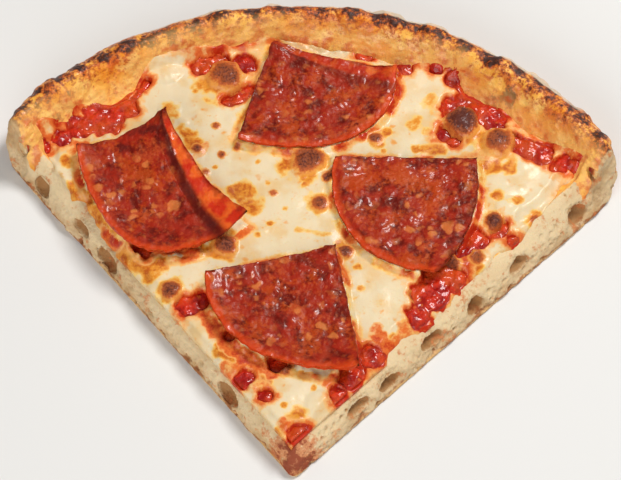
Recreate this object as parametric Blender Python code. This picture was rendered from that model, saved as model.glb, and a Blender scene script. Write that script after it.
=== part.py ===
"""A slice of pepperoni pizza: airy dough with a raised rim, tomato sauce, mozzarella and four pepperoni quarters.

The slice lies flat on its base. +Z is up, the rim is at +Y and the tip points to -Y. The origin is the middle of
the slice's footprint on the table. Run with: blender --background --python part.py
"""

import math

import bmesh
import bpy
from mathutils import Vector, noise

MM = 0.001

# Plan of the slice: two straight cuts that meet at the tip, and the rim's arc across the back.
TIP = Vector((-5.15, -86.75)) * MM
LEFT_CUT_ANGLE = math.radians(38.9)
RIGHT_CUT_ANGLE = math.radians(45.3)
TIP_RADIUS = 2.6 * MM
END_RADIUS = 5.0 * MM
ARC_CENTRE = Vector((-4.45, -39.35)) * MM
ARC_RADIUS = 124.4 * MM

# Heights of the layers, from the table up. A gap keeps each layer clear of the one below.
PLATEAU = 9.0 * MM
GAP = 0.35 * MM
SAUCE_THICKNESS = 1.1 * MM
CHEESE_THICKNESS = 2.0 * MM
SAUCE_BOTTOM = PLATEAU + GAP
CHEESE_BOTTOM = SAUCE_BOTTOM + SAUCE_THICKNESS + GAP
CHEESE_TOP = CHEESE_BOTTOM + CHEESE_THICKNESS
CHEESE_WAVES = 0.35 * MM
CHEESE_EDGE_DROP = 1.1 * MM

# The rim: its crest stands above the plateau and falls a little towards the right; its foot is where the sauce ends.
CREST_RISE = 12.6 * MM
CREST_INSET = 7.5 * MM
FOOT_INSET = 17.5 * MM
RIM_TOP_INSET = 2.5 * MM
BULGE_HEIGHT = 9.5 * MM
WIDEST_SHARE = 0.5
BASE_TUCK = 7.0 * MM
RIGHTWARD_FALL = 0.07
CREST_WAVES = 0.10
RIM_LUMPS = 0.8 * MM
RIM_LUMP_LENGTH = 11 * MM
END_SHOULDER = 1.6 * MM

# The cut sides lean in towards the top, more on the right than on the left.
LEFT_LEAN = 3.7 * MM
RIGHT_LEAN = 5.4 * MM
LEAN_HEIGHT = 12.0 * MM
BASE_ROUNDING = 0.8 * MM

# Air holes that the two cuts opened in the crumb: distance along the cut from the tip, height, length, tallness.
LEFT_HOLES = [
    (35.5, 5.0, 10, 6.0),
    (98.5, 5.0, 10, 6.0),
    (113, 6.4, 7.5, 3.2),
    (134, 5.2, 7, 5.6),
    (146, 11.5, 5, 6.0),
]
RIGHT_HOLES = [
    (31.6, 5.6, 9.5, 4.0),
    (45, 4.8, 9, 4.0),
    (65, 6.2, 9, 3.6),
    (84, 5.2, 6.5, 5.6),
    (104.6, 6.2, 8, 3.6),
    (132, 5.2, 8, 5.6),
    (142.5, 13.0, 3.4, 4.4),
]
HOLE_DEPTH = 3.2

# Browned bubbles that stand up from the cheese: x, y, radius, height above the cheese.
CHEESE_BUBBLES = [
    (-28, 56, 6.5, 3.2),
    (-1, 23, 6.0, 2.6),
    (50, 38, 6.0, 2.8),
    (62, 30, 6.5, 3.0),
    (58, 0, 3.2, 2.0),
    (-44, -25, 3.4, 1.8),
    (-27, -8, 4.0, 2.0),
]
BUBBLE_DEPTH = 1.2 * MM
BUBBLE_WAVINESS = 0.2

# Places where the cheese has drawn back and the sauce shows: x, y, half length, half width, turn in degrees.
SAUCE_WINDOWS = [
    (-68, 42, 8, 4, 25),
    (-23, 65, 9, 2.6, 8),
    (57, 44, 7, 3, -35),
    (76, 27, 7, 2.8, -38),
    (51, -4, 5, 2.6, 30),
    (39, -25, 4.5, 7, -35),
    (13, -55, 3.6, 4.6, -20),
    (-2, -74, 3.6, 3.0, 0),
]
WINDOW_WAVINESS = 0.5

# The pepperoni quarters. Plan, in mm: the corner, the two tips, and how far the two sides and the round edge bulge
# from straight lines. Curl, in mm: how far the corner, the two sides and the round edge rise off the cheese.
PEPPERONI_THICKNESS = 1.7 * MM
ROUND_FULLNESS = 0.85
PEPPERONI = {
    "pepperoni_left": dict(
        corner=(-47, 38), tips=((-76, 27.5), (-20, -0.5)), side_bulges=(-1.3, -2.6), round_bulge=24, skew=0.6,
        corner_lift=8.5, side_lifts=(1.8, 5.5), round_lift=3.0,
    ),
    "pepperoni_back": dict(
        corner=(-12, 69), tips=((-23.5, 31.5), (28.5, 60)), side_bulges=(0.8, -1.5), round_bulge=17, skew=0.5,
        corner_lift=3.2, side_lifts=(1.5, 1.5), round_lift=1.4,
    ),
    "pepperoni_right": dict(
        corner=(53.5, 23), tips=((8, 24), (40, -19.5)), side_bulges=(0.4, 5.2), round_bulge=13.2, skew=0.1,
        corner_lift=2.2, side_lifts=(2.0, 2.0), round_lift=1.4,
    ),
    "pepperoni_front": dict(
        corner=(7.6, -11), tips=((-33.5, -21), (15.5, -55)), side_bulges=(0.6, 0.6), round_bulge=13.5, skew=-0.35,
        corner_lift=3.0, side_lifts=(2.8, 2.4), round_lift=3.0,
    ),
}

# Mesh density.
COLUMNS = 44
FLAT_ROWS = 7
RIM_ROW_SPACING = 1.9 * MM
WALL_STEPS = (0.68, 0.36, 0.1, 0.0)
CHEESE_COLUMNS = 26
CHEESE_ROWS = 24
PEPPERONI_COLUMNS = 14
PEPPERONI_ROWS = 9

DOUGH_COLOUR = (0.68, 0.34, 0.10)
SAUCE_COLOUR = (0.42, 0.03, 0.012)
CHEESE_COLOUR = (0.86, 0.69, 0.42)
PEPPERONI_COLOUR = (0.36, 0.045, 0.02)


def smoothstep(value):
    value = min(max(value, 0.0), 1.0)
    return value * value * (3 - 2 * value)


def ripple(x, y, wavelength, seed=0.0):
    """Smooth unevenness from -1 to 1 that repeats nowhere."""
    return noise.noise(Vector((x / wavelength, y / wavelength, seed)))


def lean(height, full_lean):
    """How far a cut side has moved in at a height above the table."""
    rounding = BASE_ROUNDING * (1 - smoothstep(height / BASE_ROUNDING))
    return full_lean * min(1.0, height / LEAN_HEIGHT) + rounding


def cut_directions():
    """(direction along the cut, outward normal) of the left and right cuts."""
    left = Vector((-math.sin(LEFT_CUT_ANGLE), math.cos(LEFT_CUT_ANGLE)))
    right = Vector((math.sin(RIGHT_CUT_ANGLE), math.cos(RIGHT_CUT_ANGLE)))
    return (left, Vector((-left.y, left.x))), (right, Vector((right.y, -right.x)))


def tip_point(share, insets):
    """A point on the rounded tip; share 0 is on the left cut and 1 on the right."""
    (_, left_normal), (_, right_normal) = cut_directions()
    distances = [inset + TIP_RADIUS for inset in insets]
    turn = left_normal.x * right_normal.y - left_normal.y * right_normal.x
    offset = Vector((
        -(distances[0] * right_normal.y - distances[1] * left_normal.y) / turn,
        -(distances[1] * left_normal.x - distances[0] * right_normal.x) / turn,
    ))
    start = math.atan2(left_normal.y, left_normal.x) % math.tau
    end = math.atan2(right_normal.y, right_normal.x) % math.tau
    angle = start + share * (end - start)
    return TIP + offset + TIP_RADIUS * Vector((math.cos(angle), math.sin(angle)))


def arc_point(share, insets, radius, inside=math.inf):
    """A point on a circle round the arc's centre, between the two cuts. The rim's ends are round in plan, so the
    circles that lie only a little inside the outermost one stop short of the cuts."""
    short = max(0.0, END_RADIUS - inside)
    rounding = END_RADIUS - math.sqrt(END_RADIUS**2 - short**2)
    angles = []
    for (direction, normal), inset in zip(cut_directions(), [inset + rounding for inset in insets]):
        start = TIP - normal * inset - ARC_CENTRE
        along = -start.dot(direction) + math.sqrt(start.dot(direction) ** 2 - start.length_squared + radius**2)
        end = start + direction * along
        angles.append(math.atan2(end.y, end.x))
    angle = angles[0] + share * (angles[1] - angles[0])
    return ARC_CENTRE + radius * Vector((math.cos(angle), math.sin(angle)))


def insets_at(height):
    return lean(height, LEFT_LEAN), lean(height, RIGHT_LEAN)


def arc_inset(point):
    """Distance in from the rim's outermost edge."""
    return ARC_RADIUS - (point - ARC_CENTRE).length


def dough_height(point):
    """Top of the dough: a flat plateau, then the rim, which is round outside and slopes down inside."""
    inset = arc_inset(point)
    bearing = math.atan2(point.x - ARC_CENTRE.x, point.y - ARC_CENTRE.y)
    crest = CREST_RISE * (1 - RIGHTWARD_FALL * bearing + CREST_WAVES * ripple(4 * bearing, 0, 1, 3.1))
    crest += RIM_LUMPS * ripple(point.x, point.y, RIM_LUMP_LENGTH, 5.5)
    if inset > CREST_INSET:
        return PLATEAU + crest * smoothstep((FOOT_INSET - inset) / (FOOT_INSET - CREST_INSET))
    fall = (CREST_INSET - inset) / CREST_INSET
    return BULGE_HEIGHT + (PLATEAU + crest - BULGE_HEIGHT) * math.sqrt(max(0.0, 1 - fall * fall))


def wall_radius(step):
    """Radius of the rim's outer wall at a share of its height: tucked in at the base, then widest, then rounding in."""
    below = max(0.0, 1 - step / WIDEST_SHARE)
    above = max(0.0, (step - WIDEST_SHARE) / (1 - WIDEST_SHARE))
    return ARC_RADIUS - BASE_TUCK * below**2 - RIM_TOP_INSET * above**2


def new_object(name, mesh_builder, colour, roughness):
    mesh = bpy.data.meshes.new(name)
    bm = bmesh.new()
    mesh_builder(bm)
    bmesh.ops.recalc_face_normals(bm, faces=bm.faces)
    bm.to_mesh(mesh)
    bm.free()
    mesh.shade_smooth()
    mesh.set_sharp_from_angle(angle=math.radians(40))
    material = bpy.data.materials.new(name)
    material.use_nodes = True
    shader = material.node_tree.nodes["Principled BSDF"]
    shader.inputs["Base Color"].default_value = (*colour, 1)
    shader.inputs["Roughness"].default_value = roughness
    shader.inputs["Metallic"].default_value = 0.0
    mesh.materials.append(material)
    obj = bpy.data.objects.new(name, mesh)
    bpy.context.scene.collection.objects.link(obj)
    return obj


def grid_faces(bm, rows):
    for lower, upper in zip(rows, rows[1:]):
        for i in range(len(lower) - 1):
            bm.faces.new((lower[i], lower[i + 1], upper[i + 1], upper[i]))


def outline_of(rows):
    """The border of a grid of vertices, once round."""
    left = [row[0] for row in rows]
    right = [row[-1] for row in rows]
    return rows[0] + right[1:] + rows[-1][-2::-1] + left[-2:0:-1]


def wall_faces(bm, upper, lower):
    count = len(upper)
    for i in range(count):
        following = (i + 1) % count
        bm.faces.new((upper[i], lower[i], lower[following], upper[following]))


def build_dough(bm):
    """The plateau and the rim as a grid, the walls as rings below its border, and a flat base."""
    rim_rows = round((FOOT_INSET - RIM_TOP_INSET) / RIM_ROW_SPACING)
    shares = [i / COLUMNS for i in range(COLUMNS + 1)]

    def plan(row, share, insets, outer_radius):
        foot_radius = ARC_RADIUS - FOOT_INSET
        foot = arc_point(share, insets, foot_radius)
        if row <= FLAT_ROWS:
            return tip_point(share, insets).lerp(foot, row / FLAT_ROWS)
        radius = foot_radius + (row - FLAT_ROWS) / rim_rows * (outer_radius - foot_radius)
        return arc_point(share, insets, radius, outer_radius - radius)

    rows = []
    for row in range(FLAT_ROWS + rim_rows + 1):
        points = [plan(row, share, insets_at(LEAN_HEIGHT), wall_radius(1)) for share in shares]
        rows.append([bm.verts.new((*p, dough_height(p))) for p in points])
        if row > FLAT_ROWS:
            for end in (rows[-1][0], rows[-1][-1]):
                end.co.z -= END_SHOULDER * (end.co.z - PLATEAU) / CREST_RISE
    grid_faces(bm, rows)

    places = {vert: (r, c) for r, row in enumerate(rows) for c, vert in enumerate(row)}
    ring = outline_of(rows)
    upper = ring
    for step in WALL_STEPS:
        lower = []
        for top in ring:
            row, column = places[top]
            height = top.co.z * step
            point = plan(row, shares[column], insets_at(height), wall_radius(step))
            lower.append(bm.verts.new((*point, height)))
        wall_faces(bm, upper, lower)
        upper = lower
    bm.faces.new(upper)


def build_sheet(bm, insets, outer_radius, bottom, top_height, columns, rows_count):
    """A layer that runs out to both cuts: a flat underside and an uneven top."""

    def point(row, column):
        share = column / columns
        return tip_point(share, insets).lerp(arc_point(share, insets, outer_radius(share)), row / rows_count)

    plan = [[point(r, c) for c in range(columns + 1)] for r in range(rows_count + 1)]
    upper = [[bm.verts.new((*p, top_height(p, r, c))) for c, p in enumerate(row)] for r, row in enumerate(plan)]
    grid_faces(bm, upper)
    ring = outline_of(upper)
    lower = [bm.verts.new((v.co.x, v.co.y, bottom)) for v in ring]
    wall_faces(bm, ring, lower)
    bm.faces.new(lower)


def build_sauce(bm):
    def outer_radius(share):
        return ARC_RADIUS - FOOT_INSET - 1.2 * MM * (1 + ripple(share, 0, 0.09, 7.7))

    top = SAUCE_BOTTOM + SAUCE_THICKNESS
    build_sheet(bm, insets_at(SAUCE_BOTTOM), outer_radius, SAUCE_BOTTOM, lambda p, r, c: top, COLUMNS, 2)


def cheese_top(point):
    return CHEESE_TOP + CHEESE_WAVES * ripple(point.x, point.y, 26 * MM, 1.3)


def build_cheese(bm):
    def outer_radius(share):
        return ARC_RADIUS - FOOT_INSET - 3.0 * MM * (1.1 + ripple(share, 0, 0.07, 4.2))

    def top_height(point, row, column):
        on_border = row in (0, CHEESE_ROWS) or column in (0, CHEESE_COLUMNS)
        return cheese_top(point) - (CHEESE_EDGE_DROP if on_border else 0)

    build_sheet(bm, insets_at(CHEESE_BOTTOM), outer_radius, CHEESE_BOTTOM, top_height, CHEESE_COLUMNS, CHEESE_ROWS)


def boolean(target, cutter, operation):
    modifier = target.modifiers.new(f"{operation.lower()} {cutter.name}", "BOOLEAN")
    modifier.operation = operation
    modifier.object = cutter
    cutter.hide_render = True
    cutter.display_type = "WIRE"


def rounded_helper(name, centre, radii, turn=0.0, waviness=0.0):
    """A ball squashed to three radii and turned about Z, to cut with or to add. Waviness makes its plan uneven."""
    mesh = bpy.data.meshes.new(name)
    bm = bmesh.new()
    bmesh.ops.create_icosphere(bm, subdivisions=2, radius=1)
    for vert in bm.verts:
        uneven = 1 + waviness * ripple(vert.co.x, vert.co.y, 0.9, centre[0] / MM)
        vert.co = Vector(component * radius for component, radius in zip(vert.co, radii))
        vert.co.xy *= uneven
    bm.to_mesh(mesh)
    bm.free()
    mesh.shade_smooth()
    helper = bpy.data.objects.new(name, mesh)
    helper.location = centre
    helper.rotation_euler.z = turn
    bpy.context.scene.collection.objects.link(helper)
    return helper


def cut_air_holes(dough):
    """Opens each cut's air holes, long along the cut and shallow into the crumb."""
    leans = (LEFT_LEAN, RIGHT_LEAN)
    for side, holes in enumerate((LEFT_HOLES, RIGHT_HOLES)):
        direction, normal = cut_directions()[side]
        for number, (along, height, length, tallness) in enumerate(holes, 1):
            place = TIP + direction * along * MM - normal * lean(height * MM, leans[side])
            name = f"air_hole_{'left' if side == 0 else 'right'}_{number}"
            radii = (length / 2 * MM, HOLE_DEPTH * MM, tallness / 2 * MM)
            turn = math.atan2(direction.y, direction.x)
            boolean(dough, rounded_helper(name, (*place, height * MM), radii, turn), "DIFFERENCE")


def shape_cheese(cheese):
    """Raises the browned bubbles and opens the places where the sauce shows."""
    for number, (x, y, radius, height) in enumerate(CHEESE_BUBBLES, 1):
        centre = (x * MM, y * MM, CHEESE_TOP)
        radii = (radius * MM, radius * MM, height * MM)
        bubble = rounded_helper(f"bubble_{number}", centre, radii, waviness=BUBBLE_WAVINESS)
        for vert in bubble.data.vertices:
            vert.co.z = max(vert.co.z, -BUBBLE_DEPTH)
        boolean(cheese, bubble, "UNION")
    for number, (x, y, half_length, half_width, turn) in enumerate(SAUCE_WINDOWS, 1):
        centre = (x * MM, y * MM, CHEESE_TOP)
        radii = (half_length * MM, half_width * MM, 3 * CHEESE_THICKNESS)
        window = rounded_helper(f"sauce_window_{number}", centre, radii, math.radians(turn), WINDOW_WAVINESS)
        boolean(cheese, window, "DIFFERENCE")


def outward_normal(first, last, inside):
    """Unit normal of the line from first to last, on the side away from a point inside."""
    normal = Vector((last.y - first.y, first.x - last.x)).normalized()
    return -normal if normal.dot(inside - first) > 0 else normal


def build_pepperoni(bm, corner, tips, side_bulges, round_bulge, skew, corner_lift, side_lifts, round_lift):
    """A quarter of a salami slice, dished as it curled in the oven, lying on the cheese and against the rim."""
    corner = Vector(corner) * MM
    first, last = (Vector(tip) * MM for tip in tips)
    round_normal = outward_normal(first, last, corner)
    side_normals = outward_normal(corner, first, last), outward_normal(corner, last, first)

    def plan(row, column):
        out = row / PEPPERONI_ROWS
        across = column / PEPPERONI_COLUMNS
        fullness = (4 * across * (1 - across)) ** ROUND_FULLNESS * (1 + skew * (across - 0.5))
        round_edge = first.lerp(last, across) + round_normal * fullness * round_bulge * MM
        point = corner.lerp(round_edge, out)
        for normal, bulge, nearness in zip(side_normals, side_bulges, (1 - across, across)):
            point += normal * bulge * MM * 4 * out * (1 - out) * nearness**3
        return point

    def lift(row, column):
        out = row / PEPPERONI_ROWS
        across = column / PEPPERONI_COLUMNS
        sides = side_lifts[0] * (1 - across) ** 3 + side_lifts[1] * across**3
        return (round_lift * out**4 + sides * math.sqrt(out) + corner_lift * (1 - out) ** 2) * MM

    def underside(point, row, column):
        support = max(cheese_top(point) + GAP, dough_height(point) + 2 * GAP)
        return support + lift(row, column)

    grids = []
    for thickness in (PEPPERONI_THICKNESS, 0.0):
        tip_vert = bm.verts.new((*corner, underside(corner, 0, PEPPERONI_COLUMNS / 2) + thickness))
        rows = [[tip_vert] * (PEPPERONI_COLUMNS + 1)]
        for row in range(1, PEPPERONI_ROWS + 1):
            points = [plan(row, column) for column in range(PEPPERONI_COLUMNS + 1)]
            rows.append([
                bm.verts.new((*p, underside(p, row, column) + thickness)) for column, p in enumerate(points)
            ])
        grids.append(rows)
    for rows in grids:
        for i in range(PEPPERONI_COLUMNS):
            bm.faces.new((rows[0][0], rows[1][i], rows[1][i + 1]))
        grid_faces(bm, rows[1:])
    rings = [
        [rows[0][0], *(r[-1] for r in rows[1:]), *rows[-1][-2::-1], *(r[0] for r in rows[-2:0:-1])] for rows in grids
    ]
    wall_faces(bm, *rings)


def build_slice():
    for obj in list(bpy.data.objects):
        bpy.data.objects.remove(obj)
    dough = new_object("dough_crust", build_dough, DOUGH_COLOUR, 0.75)
    cut_air_holes(dough)
    new_object("tomato_sauce", build_sauce, SAUCE_COLOUR, 0.25)
    cheese = new_object("melted_mozzarella", build_cheese, CHEESE_COLOUR, 0.35)
    shape_cheese(cheese)
    for name, shape in PEPPERONI.items():
        new_object(name, lambda bm, shape=shape: build_pepperoni(bm, **shape), PEPPERONI_COLOUR, 0.3)


build_slice()
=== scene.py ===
# %% [markdown]
# # A slice of pepperoni pizza
#
# The slice is built up as a baker builds it: bread first, then sauce, cheese and salami. The packed
# solids give the size and place of every layer, and each one is replaced here by a finely modelled piece
# of the same form. The tip points to -Y, the raised rim is at +Y, and the slice lies on the floor.

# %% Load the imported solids
import math
from contextlib import contextmanager

import bpy
import numpy as np
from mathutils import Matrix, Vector, noise


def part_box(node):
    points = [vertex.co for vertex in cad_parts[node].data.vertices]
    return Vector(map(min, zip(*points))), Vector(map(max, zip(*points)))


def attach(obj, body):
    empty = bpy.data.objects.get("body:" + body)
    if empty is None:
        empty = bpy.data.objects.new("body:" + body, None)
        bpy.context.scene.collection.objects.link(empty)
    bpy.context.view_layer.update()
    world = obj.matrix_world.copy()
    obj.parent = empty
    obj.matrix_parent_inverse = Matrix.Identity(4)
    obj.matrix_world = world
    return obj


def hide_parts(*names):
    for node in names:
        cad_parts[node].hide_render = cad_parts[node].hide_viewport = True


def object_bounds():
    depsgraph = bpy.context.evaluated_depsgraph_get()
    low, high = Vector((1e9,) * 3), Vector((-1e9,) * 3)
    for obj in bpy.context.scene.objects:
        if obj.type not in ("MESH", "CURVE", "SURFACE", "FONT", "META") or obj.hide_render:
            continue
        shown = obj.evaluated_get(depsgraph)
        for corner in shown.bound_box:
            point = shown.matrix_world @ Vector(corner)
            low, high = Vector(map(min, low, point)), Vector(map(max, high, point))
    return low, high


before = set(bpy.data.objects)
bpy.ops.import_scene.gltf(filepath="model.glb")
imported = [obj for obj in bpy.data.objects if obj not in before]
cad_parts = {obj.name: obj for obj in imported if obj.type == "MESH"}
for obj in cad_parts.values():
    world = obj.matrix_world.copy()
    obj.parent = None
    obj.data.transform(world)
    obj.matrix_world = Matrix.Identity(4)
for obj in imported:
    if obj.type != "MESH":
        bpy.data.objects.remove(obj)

cad_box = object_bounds()
MM = 0.001
print("slice, mm:", [round(side / MM, 1) for side in cad_box[1] - cad_box[0]])

# %% [markdown]
# ## The sizes that the layers share
#
# Bread, sauce and cheese all follow the same plan: two straight cuts that meet at the tip and an arc
# across the back. Both cut faces lean in as they rise, because the knife presses the soft bread outwards
# at the bottom. These are the same named sizes as the solids were made from, so the layers fit each other
# without any measuring.

# %% Plan and heights
TIP = np.array((-5.15, -86.75)) * MM
LEFT_CUT_ANGLE = math.radians(38.9)
RIGHT_CUT_ANGLE = math.radians(45.3)
ARC_CENTRE = np.array((-4.45, -39.35)) * MM
ARC_RADIUS = 124.4 * MM
PLATEAU = 9.0 * MM
GAP = 0.35 * MM
SAUCE_TOP = 10.45 * MM
CHEESE_TOP = 12.8 * MM
CHEESE_WAVES = 0.35 * MM
CREST_RISE = 12.6 * MM
CREST_INSET = 7.5 * MM
FOOT_INSET = 17.5 * MM
RIM_TOP_INSET = 2.5 * MM
BULGE_HEIGHT = 9.5 * MM
BASE_TUCK = 7.0 * MM
LEFT_LEAN = 3.7 * MM
RIGHT_LEAN = 5.4 * MM
LEAN_HEIGHT = 12.0 * MM
SALAMI_SINKS = 0.5 * MM

LEFT_ALONG = np.array((-math.sin(LEFT_CUT_ANGLE), math.cos(LEFT_CUT_ANGLE)))
RIGHT_ALONG = np.array((math.sin(RIGHT_CUT_ANGLE), math.cos(RIGHT_CUT_ANGLE)))
CUTS = {
    "left": (LEFT_ALONG, np.array((-LEFT_ALONG[1], LEFT_ALONG[0])), LEFT_LEAN),
    "right": (RIGHT_ALONG, np.array((RIGHT_ALONG[1], -RIGHT_ALONG[0])), RIGHT_LEAN),
}
print("corner at the tip, degrees:", round(math.degrees(LEFT_CUT_ANGLE + RIGHT_CUT_ANGLE), 1))

# %% [markdown]
# ## Small helpers
#
# A mesh can be read and written as a whole array of points, which is how a soft, uneven surface is shaped
# here: an operator gives the clean form, then a rule moves every point a little, as a thumb would.
# `unevenness` gives smooth lumps of a chosen width, `fade` is a soft step, and `spots` adds up round
# patches with ragged edges.


# %% Numbers and noise
def fade(value, start, end):
    """0 up to start, 1 from end on, and a soft step between. Start may be above end."""
    share = np.clip((value - start) / (end - start), 0, 1)
    return share * share * (3 - 2 * share)


def fade_mm(value, start, end):
    """As fade, with start and end in mm."""
    return fade(value, start * MM, end * MM)


def unevenness(points, size, seed=0.0, octaves=1):
    """Smooth lumps, from about -1 to 1, size mm wide. Each seed gives others."""
    scaled = np.zeros((len(points), 3))
    scaled[:, :points.shape[1]] = points / (size * MM)
    scaled[:, 2] += seed
    if octaves == 1:
        values = (noise.noise(p) for p in scaled.tolist())
    else:
        values = (noise.fractal(p, 0.7, 2.1, octaves) for p in scaled.tolist())
    return np.fromiter(values, float, len(points))


PATCH_EDGE = 1.25, 0.45        # share of its radius at which a patch ends, and at which it is full


def laid_over(total, away, strength):
    """The strongest of the patches so far and one more; strength is a list that may be empty."""
    return np.maximum(total, fade(away, *PATCH_EDGE) * (strength[0] if strength else 1.0))


def spots(plan, places, raggedness, size, seed=0.0):
    """How strongly patches colour each point. A place is x, y, radius in mm and perhaps a strength."""
    wobble = raggedness * unevenness(plan, size, seed + 9.1, 2)
    total = np.zeros(len(plan))
    for x, y, radius, *strength in places:
        away = np.hypot(plan[:, 0] - x * MM, plan[:, 1] - y * MM) / (radius * MM) + wobble
        total = laid_over(total, away, strength)
    return total


def streaks(plan, lines, raggedness, size, seed=0.0):
    """As spots, along lines. A line is x and y of both ends, and half its width, in mm."""
    wobble = raggedness * unevenness(plan, size, seed + 4.7, 2)
    total = np.zeros(len(plan))
    for x1, y1, x2, y2, width, *strength in lines:
        start = np.array((x1, y1)) * MM
        along = np.array((x2 - x1, y2 - y1)) * MM
        share = np.clip(((plan - start) @ along) / (along @ along), 0, 1)
        away = np.linalg.norm(plan - start - share[:, None] * along, axis=1) / (width * MM) + wobble
        total = laid_over(total, away, strength)
    return total


# %% Meshes as arrays
def points_of(piece, what="co"):
    """A row for each point of a mesh: its place, or its normal."""
    rows = np.empty(len(piece.data.vertices) * 3)
    piece.data.vertices.foreach_get(what, rows)
    return rows.reshape(-1, 3)


def set_points(piece, points):
    piece.data.vertices.foreach_set("co", points.ravel())
    piece.data.update()


def paint(piece, name, values):
    """Keeps a value from 0 to 1 at each point of a mesh, for a material to read by its name."""
    attribute = piece.data.attributes.new(name, "FLOAT", "POINT")
    attribute.data.foreach_set("value", np.asarray(values, np.float32))


def values_of(piece, name):
    values = np.empty(len(piece.data.vertices), np.float32)
    piece.data.attributes[name].data.foreach_get("value", values)
    return values


def weigh(piece, name, values, steps=16):
    """A vertex group whose weights are the values, rounded to a few steps."""
    group = piece.vertex_groups.new(name=name)
    stepped = np.round(np.clip(values, 0, 1) * steps).astype(int)
    for step in range(steps + 1):
        group.add(np.flatnonzero(stepped == step).tolist(), step / steps, "REPLACE")


# %% Working with operators
def select_only(*objects):
    bpy.ops.object.select_all(action="DESELECT")
    for item in objects:
        item.select_set(True)
    bpy.context.view_layer.objects.active = objects[0]


@contextmanager
def edit_mode(select="SELECT"):
    """The lines under it work in edit mode, where all is selected first, or what another action says."""
    bpy.ops.object.mode_set(mode="EDIT")
    if select:
        bpy.ops.mesh.select_all(action=select)
    yield
    bpy.ops.object.mode_set(mode="OBJECT")


def finish_modifier(piece, kind, **settings):
    """Adds a modifier, sets it and applies it. The vertex group it reads has no use after that."""
    select_only(piece)
    modifier = piece.modifiers.new(kind.title(), kind)
    for name, value in settings.items():
        setattr(modifier, name, value)
    bpy.ops.object.modifier_apply(modifier=modifier.name)
    if "vertex_group" in settings:
        piece.vertex_groups.remove(piece.vertex_groups[settings["vertex_group"]])


def copy_of_solid(node, name):
    """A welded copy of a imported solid, to work on."""
    select_only(bpy.data.objects[node])
    bpy.ops.object.duplicate()
    piece = bpy.context.object
    piece.name = piece.data.name = name
    piece.data.materials.clear()
    with edit_mode():
        bpy.ops.mesh.remove_doubles(threshold=0.01 * MM)
        bpy.ops.mesh.customdata_custom_splitnormals_clear()
    return piece


def hand_in(piece, node, material):
    """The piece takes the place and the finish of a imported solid."""
    piece.data.materials.clear()
    piece.data.materials.append(material)
    select_only(piece)
    bpy.ops.object.shade_smooth()
    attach(piece, "root")
    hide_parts(node)
    piece.data.calc_loop_triangles()
    print(piece.name, "stands for", node, "with", len(piece.data.loop_triangles), "triangles")


# %% [markdown]
# ## Where a point lies in the slice
#
# The browning of bread follows from how deep a point lies: skin is gold, crumb is pale. So three
# questions are asked again and again: how far in from a cut, how far in from the rim's edge, and how high
# the bread stands here. The bread's height is the rule that its solid was made by, so toppings that climb
# the rim can ask for it too.


# %% Distances in the slice
def inside_cut(side, points):
    """How far in from a cut face each point lies. On a plan, points are as high as the cheese."""
    _, outward, full_lean = CUTS[side]
    height = points[:, 2] if points.shape[1] == 3 else np.full(len(points), CHEESE_TOP)
    return -(points[:, :2] - TIP) @ outward - full_lean * np.clip(height / LEAN_HEIGHT, 0, 1)


def rim_inset(points):
    return ARC_RADIUS - np.linalg.norm(points[:, :2] - ARC_CENTRE, axis=1)


def rim_bearing(points):
    """Angle round the rim, in degrees: 0 at the middle of the back, growing towards the right."""
    return np.degrees(np.arctan2(points[:, 0] - ARC_CENTRE[0], points[:, 1] - ARC_CENTRE[1]))


def bread_height(points):
    inset = rim_inset(points)
    bearing = np.radians(rim_bearing(points))
    along = np.column_stack((4 * bearing, 0 * bearing))
    crest = CREST_RISE * (1 - 0.07 * bearing + 0.10 * unevenness(along, 1 / MM, 3.1))
    crest += 0.8 * MM * unevenness(points[:, :2], 11, 5.5)
    inner = PLATEAU + crest * fade(inset, FOOT_INSET, CREST_INSET)
    fall = (CREST_INSET - inset) / CREST_INSET
    outer = BULGE_HEIGHT + (PLATEAU + crest - BULGE_HEIGHT) * np.sqrt(np.clip(1 - fall * fall, 0, 1))
    return np.where(inset > CREST_INSET, inner, outer)


TOPPING_EDGE = [
    (-60, 12), (-47, 11), (-43.5, 14.5), (-39.5, 13.5), (-34.5, 17.5), (-30, 16.5), (-26, 12.5),
    (-22, 11.5), (-18.5, 12), (-10.5, 13), (-4, 13), (5, 15), (11, 14.5), (17, 16), (21.5, 14),
    (28, 12.5), (31.5, 17), (37.5, 15.5), (42.5, 16.5), (49, 15), (53, 13.5), (57, 11.5), (66, 11),
]


def beyond_toppings(points):
    """How far up the rim from the toppings' wandering edge each point lies; negative under them."""
    bearings, insets = np.array(TOPPING_EDGE).T
    edge = np.interp(rim_bearing(points), bearings, insets) * MM
    wander = 0.9 * unevenness(points[:, :2], 9, 6.6) + 0.3 * unevenness(points[:, :2], 3, 6.8)
    return edge + wander * MM - rim_inset(points)


CHEESE_SHORT = {
    "left": [
        (0, -1.2), (60, -1), (75, -1.2), (84, 0.9), (90, -0.6), (96, 1.3), (107, 2.8), (117, 4.2),
        (121, 1.6), (132, 3.2), (139, 5.6), (146, 7.6), (153, 8.6),
    ],
    "right": [
        (0, -1.2), (26, -0.8), (40, -0.8), (47, 1.5), (54, 3), (61, 2.4), (70, 1.6), (79, 2.4), (88, 2.6),
        (100, 4.1), (106, 2.2), (117, 3.8), (130, 5.8), (142, 7.4), (153, 8),
    ],
}
CORNER_SOFTNESS = 1.5 * MM


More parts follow.
